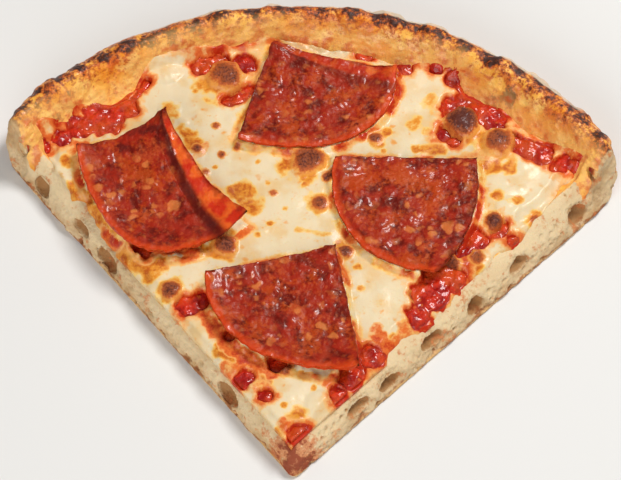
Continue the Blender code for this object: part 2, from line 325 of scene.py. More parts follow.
def beyond_cheese(points):
    """How far out of the cheese's edge along the cuts each point lies; negative on the cheese."""
    out = np.full(len(points), -1.0)
    for side, (along, _, _) in CUTS.items():
        distances, insets = np.array(CHEESE_SHORT[side]).T * MM
        short = np.interp((points[:, :2] - TIP) @ along, distances, insets)
        beyond = short - inside_cut(side, points[:, :2])
        out = CORNER_SOFTNESS * np.logaddexp(out / CORNER_SOFTNESS, beyond / CORNER_SOFTNESS)
    return out + 1.3 * MM * unevenness(points[:, :2], 6, 2.9, 2)


def lip(beyond, film):
    """Thickness of a topping: it rounds down to the bread at the edge and dives into it outside."""
    inside = np.clip(-beyond, 0, None)
    rounded = film * (1 - np.exp(-2.2 * inside / film)) + 1.2 * inside**2 / (inside + 3 * MM)
    return rounded - 1.6 * np.clip(beyond, 0, 1 * MM)


ABOVE_ALL = 50 * MM


def surface_below(piece, plan, missed):
    """Height of a piece's surface at each place on the plan, seen from above."""
    down = Vector((0, 0, -1))
    heights = np.full(len(plan), missed)
    for number, (x, y) in enumerate(plan.tolist()):
        hit, place, _, _ = piece.ray_cast(Vector((x, y, ABOVE_ALL)), down)
        if hit:
            heights[number] = place.z
    return np.where(cut_depth(plan) > 0.3 * MM, np.maximum(heights, missed), heights)


def cheese_level(points):
    return CHEESE_TOP + CHEESE_WAVES * unevenness(points[:, :2], 26, 1.3)


# %% [markdown]
# ## Materials in Python sums
#
# A material is a sum of masks: where it is brown, where it is wet. `Wire` wraps one socket of a node so
# that ordinary Python sums on it add the Math nodes, and `Finish` keeps the Principled shader of one
# material. Colours are given as they look on a screen, because that is how a cook would match them to a
# paint card.


# %% Sockets as numbers
class Wire:
    """A socket that can be used in sums."""

    def __init__(self, finish, socket):
        self.finish = finish
        self.socket = socket

    def maths(self, operation, *values):
        return self.finish.node("ShaderNodeMath", {"operation": operation}, *values)

    def __add__(self, other):
        return self.maths("ADD", self, other)

    def __radd__(self, other):
        return self.maths("ADD", other, self)

    def __sub__(self, other):
        return self.maths("SUBTRACT", self, other)

    def __rsub__(self, other):
        return self.maths("SUBTRACT", other, self)

    def __mul__(self, other):
        return self.maths("MULTIPLY", self, other)

    def least(self, other):
        return self.maths("MINIMUM", self, other)

    def other(self, output):
        """Another output of the same node."""
        return Wire(self.finish, self.socket.node.outputs[output])

    def step(self, start, end):
        """0 at start and 1 at end, softly."""
        settings = {"interpolation_type": "SMOOTHSTEP"}
        return self.finish.node("ShaderNodeMapRange", settings, self, start, end, 0.0, 1.0)


def screen_colour(red, green, blue):
    """A colour as a screen shows it, from 0 to 255, as the linear colour that shaders use."""
    def linear(value):
        value /= 255
        return value / 12.92 if value <= 0.04045 else ((value + 0.055) / 1.055) ** 2.4

    return linear(red), linear(green), linear(blue), 1.0


class Finish:
    """One material and the nodes that feed its Principled shader."""

    def __init__(self, name, **constants):
        self.material = bpy.data.materials.new(name)
        self.material.use_nodes = True
        self.tree = self.material.node_tree
        self.shader = self.tree.nodes["Principled BSDF"]
        for socket, value in constants.items():
            self.shader.inputs[socket.replace("_", " ")].default_value = value
        self.place = self.node("ShaderNodeTexCoord", {}, output="Object")

    def node(self, kind, settings, *values, output=0, **named):
        """Adds a node: its settings, then the values or wires of its sockets, in order or by name."""
        made = self.tree.nodes.new(kind)
        for name, value in settings.items():
            setattr(made, name, value)
        for socket, value in [*enumerate(values), *named.items()]:
            if isinstance(value, Wire):
                self.tree.links.new(value.socket, made.inputs[socket])
            elif value is not None:
                made.inputs[socket].default_value = value
        return Wire(self, made.outputs[output])

    def noise(self, size, detail=3.0, roughness=0.5, seed=0.0):
        """Cloudy lumps, size mm wide, from about 0.3 to 0.7."""
        return self.node("ShaderNodeTexNoise", {}, Vector=self.moved(seed), Scale=1 / (size * MM),
                         Detail=detail, Roughness=roughness)

    def flecks(self, size, share, stir, seed=0.0):
        """Blobs about size mm apart: 1 inside and 0 outside. Share is how wide the widest are."""
        place = self.stirred(size, stir, seed)
        cells = self.node("ShaderNodeTexVoronoi", {}, Vector=place, Scale=1 / (size * MM),
                          output="Distance")
        own_size = self.node("ShaderNodeSeparateColor", {}, cells.other("Color"))
        return (own_size * share - cells).step(-0.10, 0.16)

    def vector_maths(self, operation, *values, **named):
        return self.node("ShaderNodeVectorMath", {"operation": operation}, *values, **named)

    def moved(self, seed):
        """Object coordinates, moved so that each seed gives another part of a pattern."""
        if not seed:
            return self.place
        return self.vector_maths("ADD", self.place, (seed, 0.7 * seed, -seed))

    def stirred(self, size, amount, seed):
        """Object coordinates pushed up to amount mm by noise, so that a pattern looks less regular."""
        push = self.node("ShaderNodeTexNoise", {}, Vector=self.moved(seed), Scale=1 / (size * MM),
                         output="Color")
        push = self.vector_maths("SUBTRACT", push, (0.5, 0.5, 0.5))
        return self.vector_maths("ADD", self.place, self.vector_maths("SCALE", push, Scale=amount * MM))

    def painted(self, name):
        return self.node("ShaderNodeAttribute", {"attribute_name": name}, output="Fac")

    def mix(self, colour, *coats):
        """A colour painted over, coat by coat. A coat is a colour and how much it covers, from 0 to 1."""
        for coat, share in coats:
            pair = [screen_colour(*item) if isinstance(item, tuple) else item for item in (colour, coat)]
            values = share, *[None] * 5, *pair        # sockets 1 to 5 are for other kinds of data
            colour = self.node("ShaderNodeMix", {"data_type": "RGBA"}, *values, output=2)
        return colour

    def set(self, socket, wire):
        self.tree.links.new(wire.socket, self.shader.inputs[socket])

    def bump(self, *layers):
        """Each layer is a wire and the height in mm that its 0 to 1 stands for."""
        normal = None
        for height, distance in layers:
            named = {"Strength": 1.0, "Distance": distance * MM, "Height": height}
            if normal:
                named["Normal"] = normal
            normal = self.node("ShaderNodeBump", {}, **named)
        self.set("Normal", normal)


# %% [markdown]
# ## The bread
#
# The dough is baked hot and fast: a thin gold skin with charred bubbles along the ridge of the rim, and a
# pale, moist crumb where it is cut. It could be lofted again from its profile, but its solid already has
# the right form, so a copy is used. First many small air holes are cut into both faces with squashed
# balls. A voxel remesh then turns the faceted solid into one even skin of small quads, which can take
# lumps and pores.

# %% Air holes
HOLE_ROOM = 1.0 * MM
HOLE_TRIES = 444
HOLE_LENGTHS = (2.0 * MM, 5.5 * MM), (1.2 * MM, 3.0 * MM), (3.0 * MM, 6.0 * MM)
# The large holes that the solid has: their place along the cut and their length, in mm.
FIXED_HOLES = {
    "left": [(35.5, 10), (98.5, 10), (113, 7.5), (134, 7), (146, 5)],
    "right": [(31.6, 9.5), (45, 9), (65, 9), (84, 6.5), (104.6, 8), (132, 8), (142.5, 3.4)],
}


def cut_small_holes(bread):
    """Squashed balls along both cuts, clear of the large holes, taken out of the bread."""
    chance = np.random.default_rng(21)
    balls = []
    for side, (along, outward, full_lean) in CUTS.items():
        taken = [(place * MM, 0, length / 2 * MM) for place, length in FIXED_HOLES[side]]
        for _ in range(HOLE_TRIES):
            distance = chance.uniform(6, 152) * MM
            kind = chance.choice(3, p=(0.45, 0.3, 0.25))
            low = kind == 0
            length = chance.uniform(*HOLE_LENGTHS[kind])
            tall = chance.uniform(0.8, 1.5) * MM if low else length * chance.uniform(0.5, 0.8)
            deep = chance.uniform(0.8, 1.8) * MM
            ceiling = 2.6 * MM if low else PLATEAU - 0.6 * MM
            height = chance.uniform(0.5 * MM + tall / 2, ceiling - tall / 2)
            crowded = any(
                abs(distance - d) < length / 2 + r + HOLE_ROOM
                and (abs(height - h) < r + tall if h else not low)
                for d, h, r in taken
            )
            if crowded:
                continue
            taken.append((distance, height, length / 2))
            plan = TIP + along * distance - outward * full_lean * height / LEAN_HEIGHT
            turn = math.atan2(along[1], along[0])
            bpy.ops.mesh.primitive_ico_sphere_add(
                subdivisions=3, radius=1, location=(*plan, height), rotation=(0, 0, turn),
                scale=(length / 2, deep, tall / 2),
            )
            balls.append(bpy.context.object)
    select_only(*balls)
    bpy.ops.object.join()
    bpy.ops.object.transform_apply(location=True, rotation=True, scale=True)
    cutter = bpy.context.object
    finish_modifier(bread, "BOOLEAN", operation="DIFFERENCE", object=cutter)
    bpy.data.objects.remove(cutter)
    print(len(balls), "small air holes")


bread = copy_of_solid("dough_crust", "bread")
cut_small_holes(bread)

# %% [markdown]
# A voxel size of half a millimetre keeps the pores of the crumb. The plateau is hidden by the toppings
# and the base is flat, so both are thinned out afterwards with a Decimate modifier that a vertex group
# steers.

# %% One even skin
BREAD_VOXEL = 0.52 * MM
finish_modifier(bread, "REMESH", mode="VOXEL", voxel_size=BREAD_VOXEL)
finish_modifier(bread, "SMOOTH", factor=0.5, iterations=3)


def skin_depth(points):
    """How deep each point lies under the baked skin, measured away from the two cut faces."""
    step = np.clip(points[:, 2] / (PLATEAU + CREST_RISE), 0, 1)
    below = np.clip(1 - step / 0.5, 0, 1)
    above = np.clip((step - 0.5) / 0.5, 0, 1)
    wall = rim_inset(points) - BASE_TUCK * below**2 - RIM_TOP_INSET * above**2
    top = np.where(rim_inset(points) > FOOT_INSET + 1 * MM, 5 * MM, bread_height(points) - points[:, 2])
    return np.minimum(np.minimum(top, wall), points[:, 2])


def cut_depth(points):
    """How far in from the nearer cut, with the corner at the tip rounded off."""
    left = inside_cut("left", points) / CORNER_SOFTNESS
    right = inside_cut("right", points) / CORNER_SOFTNESS
    return -CORNER_SOFTNESS * np.logaddexp(-left, -right)


points = points_of(bread)
depth = cut_depth(points)
crumb = fade_mm(depth, 5.5, 4) * fade_mm(skin_depth(points), 0.5, 1.3)
hidden = fade_mm(rim_inset(points), 20, 23) * fade_mm(depth, 9, 12)
under = fade_mm(points[:, 2], 0.8, 0.3)
print("bread has", len(points), "points")

# %% [markdown]
# The crust gets broad, soft blisters and a fine wrinkled skin. The crumb gets small pores instead. Each
# point moves along its own normal, by an amount that depends on which of the two it belongs to.

# %% Blisters and pores
def pores(points, size, seed):
    """Round pits about size mm apart: 1 at the middle of each and 0 between them."""
    scaled = (points / (size * MM) + seed).tolist()
    nearest = np.fromiter((noise.voronoi(p)[0][0] for p in scaled), float, len(points))
    return fade(nearest, 0.55, 0.15)


RIM_BLISTERS = [
    (-82, 39, 2.4), (-64, 51, 3), (-79, 45, 2.6), (-60, 62, 4.5), (-42, 70, 4), (-30, 76, 4.5),
    (-12, 78, 5), (14, 77, 4.5), (27, 78, 5), (41, 71, 4.5), (63, 58, 4), (62, 48, 4), (76, 54, 4),
    (90, 40, 3.5), (-87, 50, 4), (-97, 37, 3.5), (96, 28, 3.5), (4, 68, 3.5), (-20, 70, 3), (50, 60, 3),
]
CUT_EDGE_RISE = 1.0 * MM
RISE_NEAR_RIM = 2.6 * MM
RISE_FROM = 2 * MM
EDGE_DROOP = 2.4 * MM
HOLE_LEVEL = 5.2 * MM


def cut_edge_rise(points):
    """How much higher than the plateau the bread stands along the two cuts, most of all near the rim."""
    inset = rim_inset(points)
    depth = cut_depth(points)
    from_tip = np.linalg.norm(points[:, :2] - TIP, axis=1)
    rise = CUT_EDGE_RISE + RISE_NEAR_RIM * fade_mm(from_tip, 105, 132)
    rise = rise * fade_mm(inset, 9, 16) * fade_mm(depth, 8.5, 3.5)
    droop = EDGE_DROOP * fade_mm(depth, 6, -1) * fade_mm(inset, 12, 20)
    return rise * (0.3 + 0.7 * fade_mm(depth, 0, 4)) - droop


def around_holes(points):
    """1 in the large air holes and close round them, 0 away from them."""
    close = np.zeros(len(points))
    for side, (along, _, _) in CUTS.items():
        distance = (points[:, :2] - TIP) @ along
        beside = fade_mm(inside_cut(side, points), 7, 4)
        for place, length in FIXED_HOLES[side]:
            sideways = (distance / MM - place) / (length / 2 + 2.5)
            away = np.hypot(sideways, (points[:, 2] - HOLE_LEVEL) / (5 * MM))
            close = np.maximum(close, fade(away, 1.0, 0.5) * beside)
    return close


facing = points_of(bread, "normal")
crust = (1 - crumb) * (1 - under) * fade_mm(rim_inset(points), 21, 17)
raised = 1.1 * MM * spots(points[:, :2], RIM_BLISTERS, 0.3, 5) * fade_mm(points[:, 2], 13, 17)
raised += 0.55 * MM * unevenness(points, 7, 2, 3)
raised += 0.16 * MM * unevenness(points, 1.6, 5, 2)
pitted = 0.55 * MM * unevenness(points, 13, 8.5) + 0.3 * MM * unevenness(points, 5, 8, 2)
pitted -= 0.6 * MM * pores(points, 2.4, 3.3) * fade(unevenness(points, 9, 1.5), -0.3, 0.3)
pitted -= 0.25 * MM * pores(points, 1.4, 7.3)
pitted -= 0.8 * MM * around_holes(points)
moved = np.clip(raised, -1 * MM, 1.2 * MM) * crust + pitted * crumb
points += facing * (moved * (1 - under))[:, None]
rise = cut_edge_rise(points) * np.clip((points[:, 2] - RISE_FROM) / (PLATEAU - RISE_FROM), 0, 1)
for side, (_, outward, full_lean) in CUTS.items():
    near = fade_mm(inside_cut(side, points), 8, 4)
    points[:, :2] -= outward * (near * rise * full_lean / LEAN_HEIGHT)[:, None]
points[:, 2] = np.maximum(points[:, 2] + rise, 0)
set_points(bread, points)

weigh(bread, "thin out", np.maximum(hidden, under * 0.9))
finish_modifier(bread, "DECIMATE", ratio=0.42, vertex_group="thin out", vertex_group_factor=8.0)
print("bread is thinned to", len(bread.data.polygons), "faces")

# %% [markdown]
# The colours of the bread are painted per point: how deep under the skin, how charred, how floury. The
# charred spots are listed round the ridge, as bearing and inset, because that is where the flames
# of the oven lick it.

# %% Paint the bread
CHAR_SPOTS = [
    (-53, 5.5, 3, 0.6), (-49, 4, 3, 0.7), (-45, 3, 3, 0.7), (-41, 3, 3, 0.8), (-37, 4, 3, 0.7),
    (-33, 6, 3, 0.7), (-29, 7.5, 3, 0.8), (-25, 8, 3, 0.7), (-21, 8.5, 2.4, 0.7), (-17, 8, 3, 0.5),
    (-12, 6.5, 3, 0.6), (-7, 6, 3, 0.5), (-2, 6.5, 3, 0.5), (4, 7, 3, 0.5), (9, 6, 3, 0.6),
    (13, 4.5, 4, 0.9), (16.5, 4.5, 3.5, 1), (20, 5.5, 3, 0.7), (24, 6.5, 3, 0.6), (28, 6, 3, 0.6),
    (33, 6, 3.2, 0.9), (36, 15, 2.6, 0.9), (38.5, 13.5, 3, 1), (37, 4, 3, 0.7), (41, 3, 3, 0.8),
    (44, 2.5, 3, 0.8), (48, 3, 3, 0.7), (51, 4, 3, 0.7), (55, 4.5, 3, 0.8), (58.5, 4.5, 2.4, 0.8),
    (-44.6, 13.5, 1.8, 0.9), (-33, 15.5, 2.2, 0.7), (-41, 11.5, 1.8, 0.6), (-47, 9, 1.6, 0.6),
    (-24, 12, 1.6, 0.5),
]
RIDGE_INSET = 6.3 * MM
RIDGE_WIDTH = 4.2 * MM


def on_rim(bearing, inset):
    """Plan coordinates in mm of a place on the rim."""
    reach = ARC_RADIUS / MM - inset
    turn = math.radians(bearing)
    return ARC_CENTRE[0] / MM + reach * math.sin(turn), ARC_CENTRE[1] / MM + reach * math.cos(turn)


points = points_of(bread)
plan = points[:, :2]
z = points[:, 2]
inset = rim_inset(points)
depth = cut_depth(points)
charred = spots(plan, [(*on_rim(b, i), r, s) for b, i, r, s in CHAR_SPOTS], 0.5, 4)
charred *= fade_mm(z, 8, 14)
ridge = np.exp(-((inset - RIDGE_INSET) / RIDGE_WIDTH) ** 2) * fade_mm(z, 12, 16)
paint(bread, "crumb", fade_mm(depth, 5.5, 4) * fade_mm(skin_depth(points), 0.3, 2.2))
paint(bread, "char", np.clip(0.9 * charred + 0.6 * ridge, 0, 1.1))
floury = fade_mm(inset, 6, 3) * fade(np.abs(rim_bearing(points) - 12), 50, 25)
paint(bread, "flour", floury * (0.25 + 0.75 * fade_mm(z, 12, 16)))
paint(bread, "low", fade_mm(z, 3, 0.5))
top_gap = bread_height(points) + cut_edge_rise(points) - z
# Painted shade: the air holes behind the cut face, and the crumb round the large holes, get a darker tan. It
# stands for the shade inside them as well as the crumb's own deeper colour there.
painted_hole_shade = fade_mm(depth, 0.4, 2.6) * fade_mm(depth, 6, 5)
paint(bread, "hole", np.maximum(painted_hole_shade * fade_mm(top_gap, 0.7, 1.6), 0.35 * around_holes(points)))
paint(bread, "tip", fade_mm(np.linalg.norm(plan - TIP, axis=1), 19, 4))
foot = fade_mm(beyond_toppings(points), 7, 0.5) * fade_mm(inset, 4, 8)
paint(bread, "foot", foot * fade_mm(z, 8, 11))
paint(bread, "milky", fade_mm(top_gap, 4.5, 0.8) * fade_mm(inset, 13, 18))
print("bread carries", [name for name in bread.data.attributes.keys() if not name.startswith(".")])

# %% Bread material
def baked_dough():
    finish = Finish("baked_dough", Subsurface_Weight=0.12, Subsurface_Scale=1.5 * MM,
                    Subsurface_Radius=(1.0, 0.5, 0.25), Specular_IOR_Level=0.35, Coat_Roughness=0.2)
    broad = finish.noise(14)
    patchy = finish.noise(4.5, 4, 0.6, seed=3)
    fine = finish.noise(1.1, 4, 0.65, seed=5)
    flaky = finish.noise(2.2, 4, 0.7, seed=21)
    char = finish.painted("char")
    light = finish.noise(6, seed=17).step(0.48, 0.66) * (1.0 - char)
    toasted = (patchy - 0.5) * 1.5 + (flaky - 0.5) * 2.2 + (fine - 0.5) * 1.4
    specks = finish.noise(1.6, seed=11).step(0.58, 0.68)
    burn = char + ((patchy - 0.5) * 1.6 + (flaky - 0.5) * 3.2 + (fine - 0.5) * 2.0) * (0.5 + char * 0.65)
    floury = (finish.painted("flour") + (patchy - 0.5) * 0.9).step(0.35, 0.75)
    foot = finish.painted("foot")
    low = finish.painted("low")
    base = finish.mix((214, 172, 116), ((150, 88, 38), patchy.step(0.48, 0.60)))
    crust = finish.mix(
        (238, 143, 30),
        ((252, 186, 74), broad.step(0.38, 0.62)),
        ((222, 100, 18), patchy.step(0.44, 0.64) * 0.8),
        ((255, 212, 122), light * 0.75),
        ((212, 96, 16), toasted.step(0.14, 0.50) * 0.6),
        ((190, 64, 20), specks * 0.55),
        ((190, 82, 24), burn.step(0.20, 0.50) * 0.75),
        ((118, 50, 20), burn.step(0.50, 0.80) * 0.85),
        ((50, 22, 14), burn.step(0.80, 1.10) * 0.9),
        ((226, 202, 172), floury * 0.85),
        ((248, 192, 110), foot * 0.6),
        ((208, 78, 20), (foot + (patchy - 0.5) * 2.4).step(0.90, 1.35) * 0.6),
        (base, low),
    )
    scorched = (low + (broad - 0.5) * 2.4 + (patchy - 0.5) * 1.4 + (fine - 0.5) * 0.8).step(0.35, 0.85)
    tip = finish.painted("tip") + (patchy - 0.5) * 2.6 + (fine - 0.5) * 1.4
    pale = finish.mix(
        (218, 189, 146),
        ((194, 156, 108), broad.step(0.42, 0.66)),
        ((198, 142, 82), patchy.step(0.53, 0.70) * 0.65),
        ((238, 214, 170), finish.painted("milky") * 0.5),
        # painted shade in the air holes, partly the crumb's deeper tan
        ((164, 112, 58), (finish.painted("hole") + fine - 0.5).step(0.15, 0.85) * 0.85),
        ((150, 84, 40), scorched * 0.85),
        ((206, 122, 70), tip.step(0.15, 0.60) * 0.8),
        ((136, 50, 28), tip.step(0.60, 1.05) * 0.85),
    )
    inside = (finish.painted("crumb") + (fine - 0.5) * 0.5 + (patchy - 0.5) * 0.5).step(0.25, 0.6)
    finish.set("Base Color", finish.mix(crust, (pale, inside)))
    finish.set("Roughness", 0.28 + inside * 0.40 + fine * 0.25)
    bare = (1.0 - inside) * (1.0 - burn.step(0.2, 0.7))
    finish.set("Coat Weight", bare * patchy.step(0.40, 0.60) * 0.35)
    finish.bump((patchy, 0.8), (fine, 0.35))
    return finish.material


hand_in(bread, "dough_crust", baked_dough())

# %% [markdown]
# ## The sauce and the cheese
#
# Both are sheets that run out to the cuts. A sheet starts as a fine grid, which bisect trims to the two
# cuts. Its heights then follow a rule, its border is extruded down and closed below. Where the sauce
# shows, the cheese dips under it, so the line between them is where two real surfaces meet, ragged as in
# a melted topping.


# %% Start a sheet
SHEET_SPACING = 0.5 * MM
SHEET_RIM_INSET = 8.5 * MM
SHEET_SKIRT = 0.5 * MM


def trimmed_grid(name, cut_inset):
    """A flat grid over the slice's plan, trimmed to both cuts and to a circle inside the rim."""
    low, high = cad_box
    width, length, _ = high - low
    bpy.ops.object.select_all(action="DESELECT")
    bpy.ops.mesh.primitive_grid_add(
        x_subdivisions=round(width / SHEET_SPACING), y_subdivisions=round(length / SHEET_SPACING), size=1,
        location=(*((low + high) / 2).xy, 0),
    )
    sheet = bpy.context.object
    sheet.name = sheet.data.name = name
    sheet.scale = (width, length, 1)
    bpy.ops.object.transform_apply(location=True, rotation=True, scale=True)
    with edit_mode():
        for _, outward, full_lean in CUTS.values():
            bpy.ops.mesh.select_all(action="SELECT")
            place = (*(TIP - outward * (full_lean + cut_inset)), 0)
            bpy.ops.mesh.bisect(plane_co=place, plane_no=(*outward, 0), clear_outer=True,
                                threshold=0.02 * MM)
        bpy.ops.mesh.select_all(action="DESELECT")
    sheet.data.vertices.foreach_set("select", rim_inset(points_of(sheet)) < SHEET_RIM_INSET)
    with edit_mode(None):
        bpy.ops.mesh.delete(type="VERT")
    return sheet


def close_below(sheet, floor):
    """Extrudes the border down in two steps, the second to a level floor, and closes the underside."""
    select_only(sheet)
    with edit_mode("DESELECT"):
        bpy.ops.mesh.select_mode(type="EDGE")
        bpy.ops.mesh.select_non_manifold(extend=False, use_wire=False, use_multi_face=False,
                                         use_non_contiguous=False, use_verts=False)
        for _ in range(2):
            bpy.ops.mesh.extrude_region_move(TRANSFORM_OT_translate={"value": (0, 0, -SHEET_SKIRT)})
        bpy.ops.mesh.select_mode(type="VERT")
    points = points_of(sheet)
    points[[vert.index for vert in sheet.data.vertices if vert.select], 2] = floor
    set_points(sheet, points)
    with edit_mode(None):
        bpy.ops.mesh.edge_face_add()
        bpy.ops.mesh.select_all(action="SELECT")
        bpy.ops.mesh.normals_make_consistent(inside=False)


# %% [markdown]
# The same list of windows shapes both layers: the cheese falls away there and the sauce swells up.
# Windows are oil and sauce that boiled through, so their outline wanders.

# %% Sauce windows
WINDOW_SPOTS = [
    (-68, 42, 7), (-75, 38, 5), (-81, 34, 3.6), (-60, 46, 4), (-36, 62, 3.5), (-22, 64, 4.5),
    (-29, 64, 3), (18, 68, 3), (31, 62, 3), (42, 61, 2.4), (47, 57, 3), (55, 45, 4.5), (60, 41, 4.5),
    (47, 33, 2.6), (70, 30, 4.2), (76, 27, 3.6), (81, 24, 3.4), (53, -5, 4), (60, -1, 3.4), (65, -5, 2),
    (41, -18, 6), (38, -26, 6.4), (35, -33, 4.8), (46, -20, 4.2), (44, 36, 3.4), (46, 46, 4.4),
    (52, 48, 5), (57, 43, 4.4), (48, -9, 3.6), (19, -48, 4.2), (13, -56, 4.6), (9, -62, 3.4),
    (-3, -76, 4.2), (-39, -30, 4), (-35, -28, 3.4), (-53, -9, 3.4), (-21, -56, 3.2), (-14, -62, 2.6),
    (-10, -51, 3.2), (-25, -41, 2.5), (-87, 31, 2.5),
]
WINDOW_LINES = [
    (-58, 50, -54, 56, 1.4), (-27, 48, -20, 53, 2.2), (-36, 64, -30, 66, 1.4), (84, 24, 88, 21, 1.6),
    (49, 54, 60, 46, 1.6), (66, 34, 78, 29, 1.8),
]


def window_mask(plan):
    return np.maximum(spots(plan, WINDOW_SPOTS, 0.35, 5, 1), streaks(plan, WINDOW_LINES, 0.4, 5, 2))


# %% Sauce
SAUCE_FILM = 0.3 * MM
sauce = trimmed_grid("sauce", cut_inset=1.5 * MM)
points = points_of(sauce)
plan = points[:, :2]
points[:, 2] = SAUCE_TOP + 0.25 * MM * unevenness(points, 7, 3, 2)
shown = window_mask(plan)
points[:, 2] += shown * (0.75 * MM + 0.5 * MM * unevenness(plan, 2.6, 6, 3))
bread_top = surface_below(bread, plan, PLATEAU)
grain = unevenness(plan, 2.8, 6.5, 2)
film = SAUCE_FILM + shown * (0.8 * MM + 0.45 * MM * grain)
thickness = np.maximum(points[:, 2] - bread_top, film)
drawn_in = 2.4 * MM * fade(shown, 0.35, 0.05)
thickness = np.minimum(thickness, lip(beyond_toppings(points) + drawn_in, film))
thickness = np.minimum(thickness, lip(beyond_cheese(points) + drawn_in, film))
points[:, 2] = bread_top + thickness + 0.4 * MM * grain * shown * fade(thickness, SAUCE_FILM, 1.2 * MM)
set_points(sauce, points)
close_below(sauce, floor=PLATEAU - 2.4 * MM)
paint(sauce, "bright", fade(unevenness(points_of(sauce), 8, 12, 2), -0.3, 0.5))


def tomato_sauce():
    finish = Finish("tomato_sauce", Subsurface_Weight=0.25, Subsurface_Scale=1.2 * MM,
                    Subsurface_Radius=(1.0, 0.2, 0.08), Specular_IOR_Level=0.2, Coat_Weight=0.45,
                    Coat_Roughness=0.12)
    pulp = finish.noise(3.4)
    fine = finish.noise(0.7, 3, 0.6, seed=2)
    colour = finish.mix(
        (160, 14, 4),
        ((204, 42, 10), pulp.step(0.4, 0.62)),
        ((110, 12, 6), fine.step(0.55, 0.7) * 0.6),
        ((226, 116, 48), finish.flecks(2.2, 0.30, 2.4, seed=7) * 0.6),
        ((222, 92, 28), finish.painted("bright") * 0.5),
    )
    finish.set("Base Color", colour)
    finish.set("Roughness", 0.3 + fine * 0.3)
    finish.bump((pulp, 1.6), (finish.noise(1.6, seed=19), 0.6), (fine, 0.12))
    return finish.material


hand_in(sauce, "tomato_sauce", tomato_sauce())

# %% [markdown]
# ## The mozzarella
#
# Melted mozzarella is smooth and full, with low swells, blisters that rise and brown, and a lip that sags
# over the cut. The grid is fine enough to carry all of these as real relief. Under each salami quarter
# the cheese is pressed down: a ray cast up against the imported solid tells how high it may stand.

# %% Mozzarella
BLISTERS = [
    (-28, 57.5, 6.6, 3.2, 0.85), (-1, 24.5, 6.2, 2.4, 0.95), (50, 40, 6.6, 2.8, 1.25),
    (61.5, 32, 6.4, 3, 0.85), (59, 1, 3.6, 2, 1.15), (-44, -24.5, 3.8, 1.8, 0.95),
    (-27, -8, 4.2, 2, 0.95), (21, 33, 2.8, 0.8, 0.9), (3, 8, 3.2, 1, 0.75), (11, -10, 3.2, 1, 1),
    (-8, -81, 3.4, 0.9, 1.1), (-6, -85, 3.2, 0.7, 0.9), (2, -81.5, 3.6, 0.9, 0.8),
    (72, 3, 2.4, 0.7, 0.65), (33, -26, 2.4, 0.7, 0.9), (-81, 34, 3.2, 0.8, 1), (-37, 29, 2.4, 0.5, 0.85),
    (-24, 29.5, 1.8, 0.4, 0.7), (-29, 27, 1.8, 0.4, 0.8), (-31, 38, 1.8, 0.4, 0.7),
    (-8, -53, 3, 0.6, 0.9), (53, -12, 3, 0.6, 0.8), (45, -15, 3.2, 0.6, 0.9), (-34, 20, 2, 0.4, 0.6),
    (6, 18, 3, 0.7, 0.9), (12, 22, 3.4, 0.8, 0.85), (-12, 12, 1.6, 0.3, 0.6), (-52, -8, 3, 0.5, 0.7),
    (-48, 60, 6, 1.4), (64, 6, 4.5, 1), (3, -66, 5, 1), (-3, -71, 2, 0.6), (-46, 44, 4, 0.7),
]
NO_SALAMI = 1.0                # a height in metres, above anything here
NODES_ABOVE = [bpy.data.objects[name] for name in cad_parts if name.startswith("pepperoni")]


def room_below_salami(plan):
    """Height of the underside of the salami above each place, or NO_SALAMI."""
    room = np.full(len(plan), NO_SALAMI)
    up = Vector((0, 0, 1))
    for number, (x, y) in enumerate(plan.tolist()):
        for solid in NODES_ABOVE:
            hit, place, _, _ = solid.ray_cast(Vector((x, y, 0)), up)
            if hit:
                room[number] = min(room[number], place.z)
    return room


def reach_of_salami(points, limit=4 * MM):
    """How far each point is from the salami in plan, up to a limit, and how high the salami is there."""
    away = np.full(len(points), limit)
    level = np.zeros(len(points))
    for solid in NODES_ABOVE:
        low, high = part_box(solid.name)
        plan = points[:, :2]
        near = (plan > np.array(low[:2]) - limit) & (plan < np.array(high[:2]) + limit)
        for number in np.flatnonzero(np.all(near, axis=1)).tolist():
            place = Vector(points[number])
            found, nearest, _, _ = solid.closest_point_on_mesh(place, distance=3 * limit)
            if found:
                gap = (nearest.xy - place.xy).length
                if gap < away[number]:
                    away[number] = gap
                    level[number] = nearest.z
    return away, level


def blister_domes(plan):
    """Height of the blisters, in metres, and how browned they are, most of all in their middle."""
    wobble = 0.20 * unevenness(plan, 5, 7.5, 2)
    height = np.zeros(len(plan))
    browned = np.zeros(len(plan))
    for x, y, radius, rise, *heat in BLISTERS:
        away = np.hypot(plan[:, 0] - x * MM, plan[:, 1] - y * MM) / (radius * MM) + wobble
        height = np.maximum(height, 0.8 * rise * MM * np.clip(1 - away * away, 0, 1) ** 0.7)
        if heat:
            browned = np.maximum(browned, heat[0] * fade(away, 1.25, 0.25))
    return height, browned


CHEESE_FILM = 0.9 * MM
SALAMI_CLEARANCE = 0.5 * MM
cheese = trimmed_grid("mozzarella", cut_inset=0.5 * MM)
points = points_of(cheese)
plan = points[:, :2].copy()
window = window_mask(plan)
swell = 0.65 * MM * unevenness(plan, 14, 2.2, 2) + 0.25 * MM * unevenness(plan, 5, 4.4)
dimples = pores(np.column_stack((plan, 0 * plan[:, 0])), 4.5, 6.1) - 0.3
swell += 0.3 * MM * dimples * fade(unevenness(plan, 15, 3.7), 0, 0.4)
domes, browned = blister_domes(plan)
height = CHEESE_TOP - 0.15 * MM + swell + domes
height += 0.35 * MM * fade_mm(domes, 0.2, 1.5) * unevenness(plan, 1.8, 8, 2)
bread_top = surface_below(bread, plan, PLATEAU)
thickness = np.maximum(height - bread_top, CHEESE_FILM)
thickness = np.minimum(thickness, lip(beyond_toppings(points), CHEESE_FILM))
height = bread_top + np.minimum(thickness, lip(beyond_cheese(plan), 0.7 * MM))
